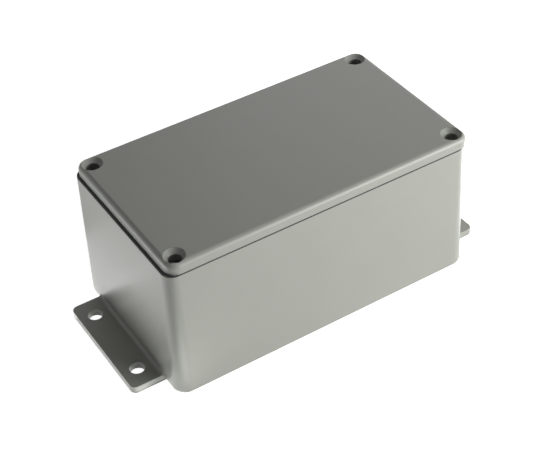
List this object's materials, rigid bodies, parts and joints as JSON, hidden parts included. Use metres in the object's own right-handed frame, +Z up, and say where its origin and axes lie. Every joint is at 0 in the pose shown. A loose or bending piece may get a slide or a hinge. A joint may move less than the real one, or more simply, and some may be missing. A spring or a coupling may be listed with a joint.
{
  "type": "die cast aluminium enclosure",
  "caption": "Rectangular grey painted die cast aluminium enclosure with flanged ends for surface mounting, a flat sealing gasket and a lift-off lid with countersunk screw holes.",
  "frame": {"origin": "middle of the underside, on the plane of the mounting surface", "axes": "+X along the length, from flange to flange; +Y across the width; +Z up, out of the mounting surface towards the lid"},
  "size_m": [0.1404, 0.0668, 0.055],
  "materials": {
    "painted_casting": "satin grey paint",
    "gasket_rubber": "matt black"
  },
  "bodies": {
    "box": {"box": "painted_casting", "gasket": "gasket_rubber"},
    "lid": {"lid": "painted_casting"}
  },
  "joints": [
    {"name": "lid_lift", "type": "slide", "parent": "box", "child": "lid", "axis": [0, 0, 1], "range_m": [0, 0.04]}
  ]
}
